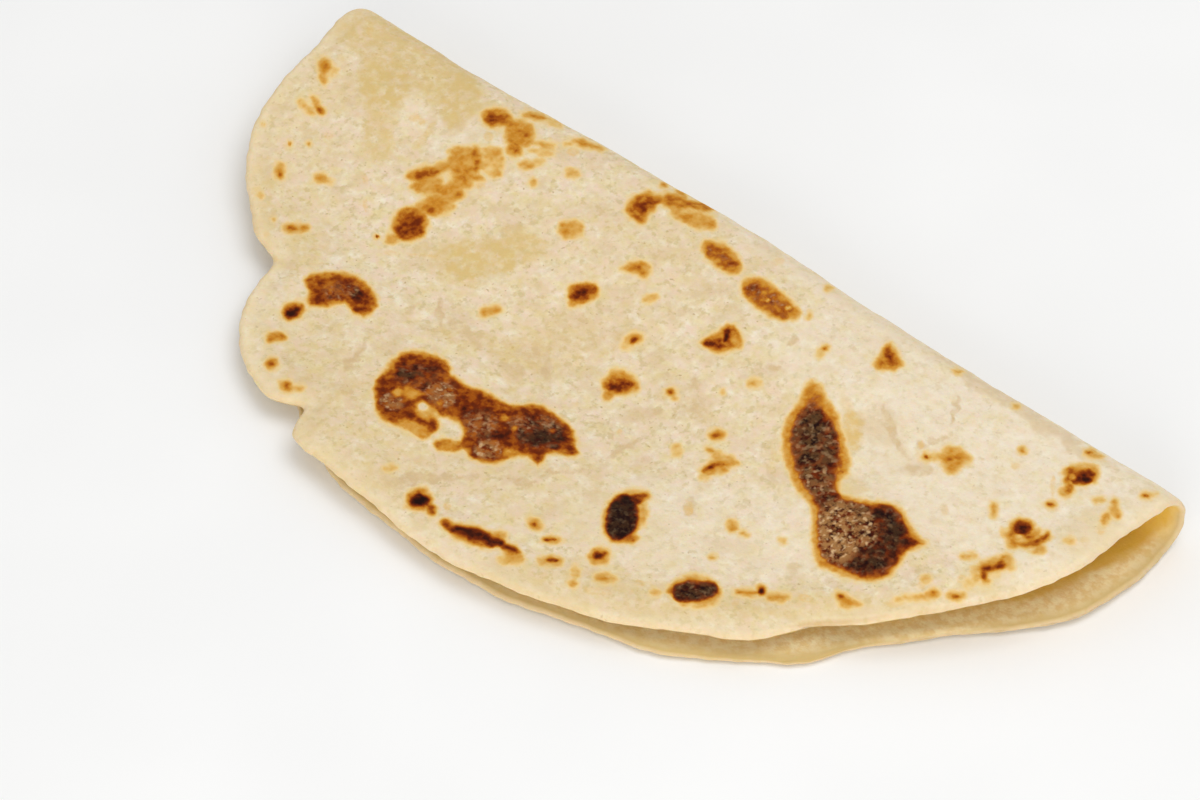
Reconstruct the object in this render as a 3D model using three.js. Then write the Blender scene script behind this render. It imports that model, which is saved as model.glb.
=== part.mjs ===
// A roti: one soft round flatbread, folded once across its middle and laid down.
// Millimetres, +Z up. X runs along the fold, the open rims face -Y, and the bread rests on z = 0.
//
// The bread is worked out as a flat round sheet first. A place on the sheet is (u, s): u along the
// fold and s across it, with s = 0 on the fold, s > 0 on the upper half and s < 0 on the lower half.
// A place on one half of the folded bread is (u, d): d is how far it lies in front of the fold.
import * as THREE from 'three';

// Driving sizes
const BREAD_RADIUS = 99.5;
const THICKNESS = 2;
const FOLD_RADIUS = 5;
const SHEET_CENTRE = 1.5;

// How much less far the sheet reaches on its upper half, and more on its lower half
const UPPER_SHORTER = 1.3;

// Rim: the edge is rounded over EDGE_ROUND and a touch thinner than the middle
const EDGE_ROUND = 1.5;
const EDGE_THIN = 0.3;
const EDGE_THIN_REACH = 7;
const RING_RISE = 0.25;
const RING_INSET = 6;
const RING_WIDTH = 2.5;

// The fold: how much wider its loop is at both ends, and how its axis bows out and sweeps back
const FOLD_END_WIDER = 0.35;
const FOLD_AXIS_Y = -3.1;
const FOLD_BOW = { out: 1.3, at: -3, width: 24 };
const FOLD_SWEEP = { back: 2.4, from: 30, over: 50 };

// How far the upper half lies above the lower one, from middle of sheet to middle of sheet
const REST_PITCH = 3.5;
const RIGHT_GAPE = { rise: 1.6, from: 10, over: 80 };
const LEFT_GAPE = { rise: 1.2, from: 50, over: 50 };
const FALL_LENGTH = 48;
const FALL_LONGER = { by: 30, from: 10, over: 90 };

// The low, uneven lift of both halves near the front rim
const RIM_LIFT = { rise: 0.35, waves: 5, turn: 0.8, from: 0.8, over: 0.25, clearOfFold: 20 };

// Soft waves of the upper half: rise, and how far one radian of each runs along u and along d
const WAVES = [
  { rise: 0.2, alongU: 18.3, alongD: 11, turn: 0.6 },
  { rise: 0.2, alongU: 10.1, alongD: -37.6, turn: 0.6 },
  { rise: 0.2, alongU: 7.5, alongD: -9, turn: 2 },
];
const WAVES_FROM = 8;
const WAVES_OVER = 30;

// The relief fades out towards the fold over this distance
const RELIEF_OVER = 20;

// Mesh: cells across each half, round the fold and in the narrow band along the rim
const CELLS_ALONG = 44;
const CELLS_ON_HALF = 15;
const CELLS_ROUND_FOLD = 18;
const CELLS_IN_RIM = 3;
const FOLD_BAND = 0.14;
const RIM_BAND = 0.03;
const SLOPE_STEP = 0.05;

const CRUST = { color: 0xe6d7b4, roughness: 0.85, metalness: 0 };

// Lobes and dents of the rim: where round the sheet (degrees from +X), how far out, how wide
const LOBES = [
  { at: 177, out: 2.1, width: 4.5 },
  { at: 160, out: 4.2, width: 12.5 },
  { at: 148, out: -1, width: 5 },
  { at: 142, out: -2.2, width: 7 },
  { at: 136.5, out: -6.2, width: 4 },
  { at: 131.5, out: -1.6, width: 3 },
  { at: 119.5, out: 1.9, width: 5 },
  { at: 111.2, out: -4.4, width: 2.1 },
  { at: 106, out: 1.4, width: 4 },
  { at: 81, out: 0.9, width: 5 },
  { at: 52, out: 0.7, width: 3 },
  { at: 43, out: -2.2, width: 5 },
  { at: 29, out: 0.8, width: 4 },
  { at: 18, out: 3.4, width: 7 },
  { at: 0, out: 0.9, width: 12 },
  { at: -8, out: 1.5, width: 4.5 },
  { at: -18, out: 5, width: 8.5 },
  { at: -38, out: -1.2, width: 5 },
  { at: -46, out: 2, width: 3.5 },
  { at: -56, out: 2.1, width: 8.5 },
  { at: -132, out: -8, width: 22 },
];

// Small even scallops all round the rim: how many, how deep, turned by how much (radians)
const SCALLOPS = [
  { count: 17, depth: 0.25, turn: 0.4 },
  { count: 29, depth: 0.18, turn: 1.7 },
  { count: 43, depth: 0.12, turn: 2.9 },
];

// Browned blisters on the upper half: middle, length, width (mm), turn (degrees), rise
const BLISTERS = [
  { u: -22, s: 74, long: 10, wide: 8, turn: 60, rise: 0.5 },
  { u: 0, s: 68, long: 8, wide: 5, turn: 0, rise: 0.5 },
  { u: -50, s: 64, long: 8, wide: 4, turn: -10, rise: 0.5 },
  { u: 40, s: 33, long: 12, wide: 5, turn: 48, rise: 0.5 },
  { u: 65, s: 48, long: 9, wide: 8, turn: 0, rise: 0.6 },
  { u: 28, s: 71, long: 6, wide: 4, turn: 90, rise: 0.4 },
  { u: 50, s: 75, long: 5, wide: 4, turn: 0, rise: 0.4 },
  { u: -54, s: 27, long: 14, wide: 5, turn: 90, rise: 0.4 },
];

const degrees = (angle) => angle * Math.PI / 180;
const bump = (x, at, width) => Math.exp(-(((x - at) / width) ** 2));
const clamp01 = (x) => Math.min(Math.max(x, 0), 1);
const smooth = (x) => clamp01(x) ** 2 * (3 - 2 * clamp01(x));
const ramp = (x, from, over) => smooth((x - from) / over);

// Angle from one direction to another, in degrees from -180 to 180
function turnFrom(from, to) {
  return ((to - from + 540) % 360) - 180;
}

// Radius of the flat sheet's rim in the direction theta (radians)
function rimRadius(theta) {
  const at = theta * 180 / Math.PI;
  let radius = BREAD_RADIUS - UPPER_SHORTER * Math.sin(theta);
  for (const lobe of LOBES) {
    radius += lobe.out * bump(turnFrom(lobe.at, at), 0, lobe.width);
  }
  for (const scallop of SCALLOPS) {
    radius += scallop.depth * Math.sin(scallop.count * theta + scallop.turn);
  }
  return radius;
}

// Radius of the fold's loop
function foldRadius(u) {
  return FOLD_RADIUS + FOLD_END_WIDER * (u / BREAD_RADIUS) ** 2;
}

// The loop's axis
function foldAxisY(u) {
  return FOLD_AXIS_Y + FOLD_BOW.out * bump(u, FOLD_BOW.at, FOLD_BOW.width)
    - FOLD_SWEEP.back * ramp(-u, FOLD_SWEEP.from, FOLD_SWEEP.over);
}

// Lift of both halves near the front rim
function rimLift(u, d) {
  const out = Math.hypot(u, d) / BREAD_RADIUS;
  const around = Math.atan2(d, u);
  return RIM_LIFT.rise * (1 + Math.sin(RIM_LIFT.waves * around + RIM_LIFT.turn))
    * ramp(out, RIM_LIFT.from, RIM_LIFT.over) * smooth(d / RIM_LIFT.clearOfFold);
}

// Soft waves of the upper half
function upperWaves(u, d) {
  let height = 0;
  for (const wave of WAVES) {
    height += wave.rise * Math.sin(u / wave.alongU + d / wave.alongD + wave.turn);
  }
  return height * ramp(d, WAVES_FROM, WAVES_OVER);
}

// Height of the upper half's middle above the lower half's middle: it falls from the fold's loop
// to where it rests, and gapes a little at both ends
function pitch(u, d) {
  const settled = REST_PITCH + RIGHT_GAPE.rise * ramp(u, RIGHT_GAPE.from, RIGHT_GAPE.over)
    + LEFT_GAPE.rise * ramp(-u, LEFT_GAPE.from, LEFT_GAPE.over);
  const fallLength = FALL_LENGTH + FALL_LONGER.by * ramp(u, FALL_LONGER.from, FALL_LONGER.over);
  return settled + (2 * foldRadius(u) - settled) * (1 - smooth(d / fallLength)) + upperWaves(u, d);
}

// Middle of the folded sheet at the place (u, s)
function middle(u, s) {
  const radius = foldRadius(u);
  const quarterTurn = radius * Math.PI / 2;
  const axisZ = radius + THICKNESS / 2;
  if (Math.abs(s) <= quarterTurn) {
    const angle = s / radius;
    return new THREE.Vector3(u, foldAxisY(u) + radius * Math.cos(angle), axisZ + radius * Math.sin(angle));
  }
  const d = Math.abs(s) - quarterTurn;
  const lowZ = THICKNESS / 2 + rimLift(u, d);
  return new THREE.Vector3(u, foldAxisY(u) - d, s > 0 ? lowZ + pitch(u, d) : lowZ);
}

// Unit normal of the sheet, pointing out of the fold
function outward(u, s) {
  const alongU = middle(u + SLOPE_STEP, s).sub(middle(u - SLOPE_STEP, s));
  const alongS = middle(u, s + SLOPE_STEP).sub(middle(u, s - SLOPE_STEP));
  return alongS.cross(alongU).normalize();
}

// Half of the sheet's thickness at a distance inside the rim
function halfThickness(inside) {
  const full = THICKNESS / 2 - EDGE_THIN / 2 * (1 - smooth(inside / EDGE_THIN_REACH));
  const across = 1 - clamp01(inside / EDGE_ROUND);
  return full * Math.sqrt(1 - across * across);
}

// Relief on the outer face of the upper half: the ring along the rim and the blisters
function relief(u, s, inside) {
  if (s <= 0) {
    return 0;
  }
  let rise = RING_RISE * bump(inside, RING_INSET, RING_WIDTH);
  for (const blister of BLISTERS) {
    const turned = new THREE.Vector2(u - blister.u, s - blister.s)
      .rotateAround(new THREE.Vector2(0, 0), degrees(-blister.turn));
    rise += blister.rise * Math.exp(-((turned.x / blister.long) ** 2) - (turned.y / blister.wide) ** 2);
  }
  return rise * smooth(inside / (2 * EDGE_ROUND)) * smooth(s / RELIEF_OVER);
}

// Grid lines from -1 to 1, bunched along both ends of the range
function gridLines(inner) {
  const rim = Array.from({ length: CELLS_IN_RIM }, (_, i) => 1 - RIM_BAND * (i / CELLS_IN_RIM) ** 2);
  return [...rim.map((x) => -x), ...inner, ...rim.reverse()];
}

// Even steps from start to end, both included
function steps(start, end, count) {
  return Array.from({ length: count + 1 }, (_, i) => start + (end - start) * i / count);
}

// One closed mesh: an outer and an inner face over the same grid, which share the rim's vertices
function sheetGeometry() {
  const edge = 1 - RIM_BAND;
  const columns = gridLines(steps(-edge, edge, CELLS_ALONG));
  const rows = gridLines([
    ...steps(-edge, -FOLD_BAND, CELLS_ON_HALF),
    ...steps(-FOLD_BAND, FOLD_BAND, CELLS_ROUND_FOLD).slice(1, -1),
    ...steps(FOLD_BAND, edge, CELLS_ON_HALF),
  ]);
  const positions = [];
  const addVertex = (point) => positions.push(point.x, point.y, point.z) / 3 - 1;

  const outer = [];
  const inner = [];
  rows.forEach((b, row) => {
    outer.push([]);
    inner.push([]);
    columns.forEach((a, column) => {
      // A square grid bent onto the round sheet
      const x = a * Math.sqrt(1 - b * b / 2);
      const y = b * Math.sqrt(1 - a * a / 2);
      const reach = Math.hypot(x, y);
      const radius = rimRadius(Math.atan2(y, x));
      const u = x * radius;
      const s = SHEET_CENTRE + y * radius;
      const onRim = row === 0 || column === 0 || row === rows.length - 1 || column === columns.length - 1;
      const inside = onRim ? 0 : (1 - reach) * radius;
      const normal = outward(u, s);
      const half = halfThickness(inside);
      const lift = half + relief(u, s, inside);
      outer[row].push(addVertex(middle(u, s).addScaledVector(normal, lift)));
      inner[row].push(onRim ? outer[row][column] : addVertex(middle(u, s).addScaledVector(normal, -half)));
    });
  });

  const triangles = [];
  for (let row = 0; row + 1 < rows.length; row += 1) {
    for (let column = 0; column + 1 < columns.length; column += 1) {
      const corners = [[row, column], [row, column + 1], [row + 1, column + 1], [row + 1, column]];
      // The diagonal runs towards the rim in every quarter, so that no cell at a corner folds over
      const sameSide = (rows[row] + rows[row + 1]) * (columns[column] + columns[column + 1]) > 0;
      const halves = sameSide ? [[0, 1, 2], [0, 2, 3]] : [[0, 1, 3], [1, 2, 3]];
      for (const half of halves) {
        const [p, q, r] = half.map((i) => corners[i]);
        triangles.push(outer[p[0]][p[1]], outer[r[0]][r[1]], outer[q[0]][q[1]]);
        triangles.push(inner[p[0]][p[1]], inner[q[0]][q[1]], inner[r[0]][r[1]]);
      }
    }
  }

  const geometry = new THREE.BufferGeometry();
  geometry.setAttribute('position', new THREE.Float32BufferAttribute(positions, 3));
  geometry.setIndex(triangles);
  return geometry;
}

// Moves the bread so that its box stands on z = 0 with its middle over the origin
function standOnOrigin(geometry) {
  geometry.computeBoundingBox();
  const box = geometry.boundingBox;
  const centre = box.getCenter(new THREE.Vector3());
  geometry.translate(-centre.x, -centre.y, -box.min.z);
  geometry.computeVertexNormals();
  return geometry;
}

function roti() {
  const mesh = new THREE.Mesh(standOnOrigin(sheetGeometry()), new THREE.MeshStandardMaterial(CRUST));
  mesh.name = 'roti';
  return mesh;
}

const bread = new THREE.Group();
bread.add(roti());

export default bread;
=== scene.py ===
# A roti: one soft round flatbread, folded once across its middle, dressed for rendering.
#
# The skin is worked out from the same flat sheet as in the CAD, on a finer grid: millimetres, u along the
# fold and s across it, s > 0 on the upper half and s < 0 on the lower half. The mesh is then moved onto
# the CAD node's box, in metres. Its browned spots were read off the photograph.
import math

import bpy
import numpy as np
from mathutils import Matrix, Vector, noise


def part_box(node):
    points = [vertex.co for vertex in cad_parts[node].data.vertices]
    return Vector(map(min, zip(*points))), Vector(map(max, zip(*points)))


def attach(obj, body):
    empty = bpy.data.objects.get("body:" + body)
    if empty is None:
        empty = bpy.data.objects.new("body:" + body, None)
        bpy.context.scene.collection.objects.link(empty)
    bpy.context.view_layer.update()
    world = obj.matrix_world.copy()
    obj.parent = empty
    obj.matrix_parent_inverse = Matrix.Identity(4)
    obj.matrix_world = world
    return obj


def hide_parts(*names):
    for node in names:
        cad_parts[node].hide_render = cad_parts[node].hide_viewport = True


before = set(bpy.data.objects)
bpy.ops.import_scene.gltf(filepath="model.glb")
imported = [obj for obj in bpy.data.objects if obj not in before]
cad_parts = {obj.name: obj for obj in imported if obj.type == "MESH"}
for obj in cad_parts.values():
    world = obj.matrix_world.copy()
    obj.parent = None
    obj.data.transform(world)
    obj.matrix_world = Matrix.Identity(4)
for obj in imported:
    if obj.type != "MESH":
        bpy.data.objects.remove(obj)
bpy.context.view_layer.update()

MM = 0.001

# The flat sheet, in millimetres
BREAD_RADIUS = 99.5
THICKNESS = 2.0
FOLD_RADIUS = 5.0
SHEET_CENTRE = 1.5
UPPER_SHORTER = 1.3
EDGE_ROUND = 1.5
EDGE_THIN = 0.3
EDGE_THIN_REACH = 7.0
RING_RISE = 0.25
RING_INSET = 6.0
RING_WIDTH = 2.5

# The fold: how much wider its loop is at both ends, and how its axis bows out (how far, where, how wide)
# and sweeps back at the left end (how far, from where, over what length)
FOLD_END_WIDER = 0.35
FOLD_AXIS_Y = -3.1
FOLD_BOW = (1.3, -3.0, 24.0)
FOLD_SWEEP = (2.4, 30.0, 50.0)

# Where the fold turns away from the photograph's camera, as a place s on the sheet
FOLD_TURNS_AWAY = 5.0

# How far the upper half lies above the lower one, from middle of sheet to middle of sheet: what a gape
# or a longer fall adds, from where, and over what length
REST_PITCH = 3.5
RIGHT_GAPE = (1.6, 10.0, 80.0)
LEFT_GAPE = (1.2, 50.0, 50.0)
FALL_LENGTH = 48.0
FALL_LONGER = (30.0, 10.0, 90.0)

# The low lift of both halves near the front rim: its rise, waves round the rim and their turn, from which
# share of the radius, over what share, and how far in front of the fold it is whole
RIM_LIFT = 0.35
RIM_LIFT_WAVES = 5
RIM_LIFT_TURN = 0.8
RIM_LIFT_FROM = 0.8
RIM_LIFT_OVER = 0.25
RIM_LIFT_CLEAR = 20.0

# Soft waves of the upper half: rise, how far one radian runs along u and along d, and turn
WAVES = [(0.2, 18.3, 11.0, 0.6), (0.2, 10.1, -37.6, 0.6), (0.2, 7.5, -9.0, 2.0)]
WAVES_FROM = 8.0
WAVES_OVER = 30.0
RELIEF_OVER = 20.0

# Lobes and dents of the rim: degrees from +X round the sheet, how far out, how wide
LOBES = [
    (177, 2.1, 4.5), (160, 4.2, 12.5), (148, -1.0, 5), (142, -2.2, 7), (136.5, -6.2, 4), (131.5, -1.6, 3),
    (119.5, 1.9, 5), (111.2, -4.4, 2.1), (106, 1.4, 4), (81, 0.9, 5), (52, 0.7, 3), (43, -2.2, 5),
    (29, 0.8, 4), (18, 3.4, 7), (0, 0.9, 12), (-8, 1.5, 4.5), (-18, 5.0, 8.5), (-38, -1.2, 5),
    (-46, 2.0, 3.5), (-56, 2.1, 8.5), (-132, -8.0, 22),
]

# Small scallops all round the rim: how many, how deep, and their turn in radians. The last three are
# finer than the CAD's.
SCALLOPS = [
    (17, 0.25, 0.4), (29, 0.18, 1.7), (43, 0.12, 2.9), (97, 0.06, 0.3), (151, 0.05, 1.1), (223, 0.04, 2.3),
]

# Blisters on the upper half: u, s, length, width, turn in degrees, rise
BLISTERS = [
    (-22, 74, 10, 8, 60, 0.5), (0, 68, 8, 5, 0, 0.5), (-50, 64, 8, 4, -10, 0.5), (40, 33, 12, 5, 48, 0.5),
    (65, 48, 9, 8, 0, 0.6), (28, 71, 6, 4, 90, 0.4), (50, 75, 5, 4, 0, 0.4), (-54, 27, 14, 5, 90, 0.4),
]

# Uneven waves of the skin, finer than the CAD's, on the outer and on the inner face: rise, size and seed,
# how far inside the rim they are whole, and how far below the fold's middle they begin
OUTER_WAVES = [(0.22, 14, 3), (0.1, 4.5, 4), (0.04, 1.6, 5)]
INNER_WAVES = [(0.15, 10, 6)]
WAVES_INSIDE_RIM = 4.0
WAVES_BELOW_FOLD = 8.0

# The photograph's camera, in the sheet's millimetres: elevation and azimuth in degrees
CAMERA_ELEVATION = 44.32
CAMERA_AZIMUTH = 43.15
CAMERA_TARGET = Vector((0.415, -42.425, 0.0))
CAMERA_DISTANCE = 869.6
CAMERA_LENS = 141.75
SENSOR_WIDTH = 36.0
PHOTO_WIDTH = 1200
PHOTO_HEIGHT = 800
PIXELS_PER_MM = 5.4

# Browned spots of the upper half, in photograph pixels: tone (1 is yellow-orange, 2 orange-brown, 3 brown,
# 5 charred), x, y, half length, half width, and the turn in degrees, clockwise, where there is one
PHOTO_SPOTS = [
    # Left tip
    (2.3, 325, 66, 7.5, 9), (1.8, 324, 76, 4.5, 9), (1, 332, 70, 6, 4), (1.2, 303, 103, 6, 4, 60),
    (1.3, 309, 110, 8, 4, 30), (1.9, 316, 104, 9, 4.5, 62), (3.2, 320, 110, 6, 4.5, 45),
    (2.5, 262, 124, 2.5, 2.5), (5.5, 290, 144, 2.8, 2.8), (3, 309, 144, 2.6, 2.6), (1.8, 280, 171, 6, 10),
    (3.2, 280, 174, 4.5, 5), (1.9, 321, 178, 8, 5.5), (2.6, 319, 178, 4, 3.5), (0.9, 329, 181, 4, 4),
    (1, 261, 195, 3, 3), (1.5, 296, 228, 14, 6.5), (3.8, 292, 228, 7.5, 4.5), (2.7, 304, 227, 5, 4),
    (8, 377, 236, 2.6, 2.6), (1.8, 274, 220, 2.5, 2.5),
    # Chain of spots down from the fold
    (2.7, 497, 117, 17, 9.5, 8), (3.6, 492, 120, 10, 8, 20), (3.1, 503, 117, 8, 6),
    (1.9, 534, 116, 14, 5, 8), (2.7, 538, 117, 10, 3.5, 8), (0.9, 552, 122, 10, 4, 22),
    (1.9, 520, 134, 17, 15, 10), (1.9, 513, 126, 12, 7, 30), (2.5, 526, 134, 7, 7), (2.7, 514, 149, 9, 9),
    (2.3, 511, 143, 5, 7, -20), (1.4, 543, 144, 14, 3.5, 5), (1.1, 541, 152, 14, 3.5, 8),
    (0.8, 548, 147, 6, 6), (1.5, 456, 152, 9, 6), (1.7, 465, 163, 18, 17), (2.1, 463, 172, 13, 10),
    (2.7, 476, 157, 7, 11), (2.5, 475, 166, 6, 8), (2.4, 470, 178, 15, 5), (2.9, 465, 179, 5, 4),
    (1.1, 490, 160, 14, 14), (1.5, 494, 152, 9, 5), (1.5, 495, 173, 8, 5), (1.7, 527, 165, 9, 5),
    (1.2, 537, 162, 8, 4, -15), (1.8, 533, 182, 4.5, 4.5), (1.4, 572, 173, 8, 5),
    (2.6, 424, 174, 19, 8.5, -8), (3.2, 422, 176, 12, 6, -8), (3, 432, 172, 8, 5, -10),
    (1.8, 443, 167, 11, 6, -15), (1.8, 428, 187, 18, 9, 5), (2.1, 418, 187, 8, 6),
    (1.9, 450, 192, 16, 8, 12), (2.5, 455, 194, 9, 4, 10), (2.5, 446, 191, 4, 5), (2, 435, 205, 12, 12),
    (2.6, 433, 206, 9, 8, -40), (3, 431, 211, 7, 6), (1.2, 446, 206, 9, 8), (3, 410, 224, 20, 18, -38),
    (3.6, 412, 226, 15, 13, -40), (4, 405, 230, 12, 11), (3.8, 418, 232, 9, 8), (2, 393, 238, 9, 6, -30),
    (2.2, 423, 208, 9, 8, -40), (1.8, 446, 199, 17, 8, -20), (1.8, 430, 181, 14, 6),
    (1.9, 461, 184, 14, 8, -10),
    # Along the fold
    (1.8, 586, 144, 16, 4.5, 18), (2.6, 582, 144, 7, 4, 10), (1.2, 569, 144, 5, 3),
    (1.8, 598, 148, 8, 3.5, 25), (1.5, 571, 229, 13.5, 10), (2.2, 564, 229, 5, 7),
    (2.3, 664, 185, 5, 4, 20), (2.8, 641, 206, 17, 13, -25), (2.6, 633, 210, 9, 8),
    (3.7, 641, 207, 10, 9, -20), (3.5, 652, 201, 14, 7, -20), (3, 660, 200, 8, 5), (2.8, 640, 217, 8, 8),
    (2, 648, 196, 10, 6), (2.3, 675, 202, 16, 10, 15), (2.7, 672, 199, 10, 6, 10),
    (2.2, 681, 193, 8, 4, 25), (2.6, 698, 206, 18, 6, 8), (2.9, 700, 208, 12, 4, 10),
    (1.7, 698, 220, 20, 9, 15), (2.2, 690, 217, 8, 5), (2.5, 708, 224, 9, 5, 20),
    (1.3, 680, 214, 12, 7, 30), (2.6, 722, 257, 24.5, 12.5, 38), (3.3, 714, 251, 11, 9, 30),
    (3.2, 728, 261, 14, 9, 40), (2.6, 768, 299, 32, 15, 35), (3.9, 753, 290, 13, 8, 5),
    (4.5, 750, 289, 8, 5), (3.5, 760, 297, 12, 7, 20), (3.3, 772, 302, 12, 12, 30),
    (3.2, 784, 308, 12, 10, 30), (3, 780, 314, 12, 6, 20), (1.5, 762, 285, 14, 5, 30),
    (1.8, 794, 313, 7, 8), (1.4, 809, 316, 3, 4), (0.9, 829, 288, 5, 3), (2.2, 637, 267, 14, 8),
    (3.4, 639, 267, 6, 4), (2.6, 644, 273, 6, 6, 50), (1.9, 628, 268, 8, 4), (1.1, 651, 298, 9, 5, -15),
    (3, 583, 293, 16, 10.5, -5), (4.5, 585, 291, 13, 7), (4.2, 580, 297, 13, 8), (3.4, 576, 289, 9, 6),
    (2.4, 573, 302, 7, 5, -30), (3.6, 592, 290, 8, 7), (5.2, 582, 292, 8, 5), (1.8, 634, 340, 11, 6.5, -28),
    (4.2, 634, 341, 7, 4.5, -28), (0.8, 625, 347, 4, 4), (5.4, 710, 343, 9, 5, 5), (5, 721, 346, 9, 5),
    (5.4, 727, 336, 10, 5, -62), (6, 728, 331, 5, 4, -30), (3.8, 719, 341, 6, 5), (1.9, 825, 348, 5.5, 4.5),
    (4, 825, 348, 4, 3.5), (1, 821, 353, 6, 4, -50), (4.1, 889, 358, 7.5, 8), (3.8, 886, 363, 9, 4.5),
    (3.6, 888, 351, 4, 6), (1.3, 958, 371, 6, 2.5), (2.6, 958, 372, 4, 1.6), (1.4, 1016, 407, 5, 3),
    (3, 1016, 407, 3, 2.2),
    # Arch and the spots below it
    (4, 323, 283, 9, 7), (4.3, 328, 297, 16, 8), (4.8, 319, 300, 9, 6), (4.6, 348, 284, 8, 7),
    (4.8, 357, 294, 11, 11), (4.8, 361, 309, 11, 6), (4, 366, 300, 6, 9), (3.8, 338, 286, 8, 8),
    (3.4, 293, 311, 13.5, 10, -22), (5.6, 292, 312, 11, 8, -20), (4.6, 299, 308, 6, 6),
    (2.6, 277, 337, 12, 6), (3.4, 276, 337, 8, 4), (3, 270, 340, 5, 4), (2.5, 272, 364, 8, 6.5, -15),
    (3.6, 272, 364, 5, 4.5), (2.3, 286, 386, 8, 6.5, 10), (3.2, 286, 385, 5, 5), (3.2, 289, 389, 5, 3),
    (1.5, 297, 388, 8, 3.5, 5), (1.9, 490, 311, 12, 6, -12), (2.4, 493, 310, 6, 3.5, -12),
    # Large blob on the left
    (4.6, 416, 370, 23, 12, 5), (5.6, 407, 374, 14, 9), (4.8, 435, 370, 10, 11, 25),
    (4.8, 424, 386, 8, 9, 30), (3, 396, 364, 10, 6, -30), (4.4, 394, 412, 12, 7, 15), (3.8, 384, 401, 6, 6),
    (3.4, 455, 386, 12, 8, 25), (3.8, 459, 398, 14, 10, 30), (4.6, 464, 408, 9, 10),
    (3.6, 480, 403, 16, 8, 25), (4, 476, 402, 8, 6), (3.8, 487, 419, 18, 16), (4.6, 485, 418, 9, 10),
    (5.2, 493, 434, 15, 9), (4.4, 506, 435, 14, 10), (4.4, 471, 446, 7, 6), (4.2, 476, 453, 9, 5),
    (3.8, 496, 459, 7, 4), (4.4, 532, 414, 17, 7, 8), (5, 531, 418, 12, 8), (4.8, 553, 421, 12, 7, 35),
    (4.8, 541, 432, 33, 17, 12), (5.6, 540, 438, 28, 12), (6.4, 536, 440, 17, 10),
    (5.3, 561, 437, 11, 11, 10), (5.6, 552, 446, 14, 6), (4.8, 570, 450, 7, 6, 20), (5, 539, 456, 6, 8),
    (4, 524, 452, 8, 4, 10),
    # Front left
    (0.9, 390, 468, 7, 3.5), (3.2, 419, 500, 14.5, 12, 15), (6.6, 420, 500, 11.5, 9),
    (5.6, 417, 504, 10, 6), (4, 431, 509, 8, 6, 45), (1.6, 411, 507, 7, 4), (1.9, 421, 491, 8, 5),
    (3.6, 475, 536, 31, 10, 16), (4.9, 474, 535, 29, 9, 16), (3.8, 448, 525, 10, 6.5, 35),
    (5.4, 494, 541, 14, 7, 10), (5, 488, 544, 9, 5, 20), (3.8, 510, 549, 12, 6.5, 20),
    (5, 506, 547, 7, 4.5), (1.7, 513, 556, 12, 8, 30), (1.3, 504, 560, 7, 5), (2, 500, 536, 8, 6, 10),
    (1.9, 535, 524, 9.5, 6.5, 40), (3.6, 534, 524, 6, 5, 30), (1.8, 552, 540, 11, 4.5, 3),
    (5.5, 550, 540, 8, 3), (1.2, 550, 561, 13, 6, 3), (5.5, 552, 560, 8, 3.5, 3),
    (2.3, 599, 556, 12.5, 9, -15), (4.6, 600, 555, 10, 6.5, -15), (1, 575, 573, 5, 7),
    (1.9, 572, 584, 6, 4), (1.3, 606, 578, 12, 6, 5), (2.2, 603, 578, 6, 4), (1, 655, 593, 6, 4),
    (2.6, 622, 518, 27, 20, -75), (6.4, 622, 517, 25, 18, -75), (7.4, 620, 524, 18, 15, -70),
    (5, 633, 501, 12, 8, -15), (3.4, 643, 497, 9, 6, -25), (1.3, 636, 493, 14, 4), (1.2, 643, 513, 5, 12),
    (3.5, 630, 539, 9, 6), (0.8, 677, 450, 6, 7),
    # Middle
    (3, 619, 385, 18, 11, -5), (4.3, 617, 387, 13, 7, -5), (4, 626, 384, 10, 7), (2.2, 618, 375, 10, 6),
    (2.2, 612, 378, 9, 5, -30), (2, 629, 378, 8, 5, 30), (2.5, 609, 394, 9, 6, -30), (2, 634, 386, 6, 7),
    (1.9, 672, 393, 6.5, 5), (3.6, 671, 392, 5.5, 5), (1.2, 674, 398, 4, 3.5), (1, 754, 383, 7, 6),
    (1.7, 753, 384, 4, 3.5), (0.9, 722, 392, 3, 3), (1.9, 717, 435, 9.5, 7), (3.5, 716, 436, 6.5, 5),
    (2.4, 710, 451, 6, 3, 10), (0.8, 718, 456, 8, 5, 20), (2.4, 714, 467, 15, 7, -25),
    (4.8, 709, 469, 9, 4.5, -25), (3.6, 719, 464, 10, 4.5, -10), (2.7, 727, 464, 8, 4.5, 5),
    (1.3, 727, 461, 13, 6, 10), (2, 722, 470, 7, 4), (1, 704, 475, 6, 5, -40), (1.6, 732, 526, 6.5, 7),
    (2.5, 732, 526, 4, 4.5), (1.2, 743, 534, 6, 3, 20), (2, 713, 557, 4.5, 2.6), (1.6, 782, 541, 4, 3.5),
    # Large blob on the right
    (3, 813, 400, 9, 8), (5.9, 812, 430, 18, 25), (6, 818, 428, 10, 15), (5.4, 803, 418, 8, 8),
    (5.4, 831, 430, 5, 9), (5.6, 826, 447, 10, 11), (5.9, 810, 458, 16, 13), (4.8, 795, 440, 7, 17),
    (3.6, 838, 460, 7, 8), (3.6, 841, 464, 6, 7), (4.2, 839, 472, 7, 4), (3.2, 842, 449, 4, 7),
    (4.8, 815, 476, 14, 10, 30), (5, 827, 484, 9, 7), (5.2, 841, 505, 10, 8), (4.8, 858, 514, 14, 7),
    (6.4, 884, 516, 17, 9, 12), (6.3, 893, 531, 12, 16, -10), (5.6, 908, 542, 12, 6, 12),
    (5.4, 882, 549, 22, 16, -30), (6, 866, 564, 24, 11), (4.8, 848, 564, 14, 7, 20),
    # Front
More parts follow.
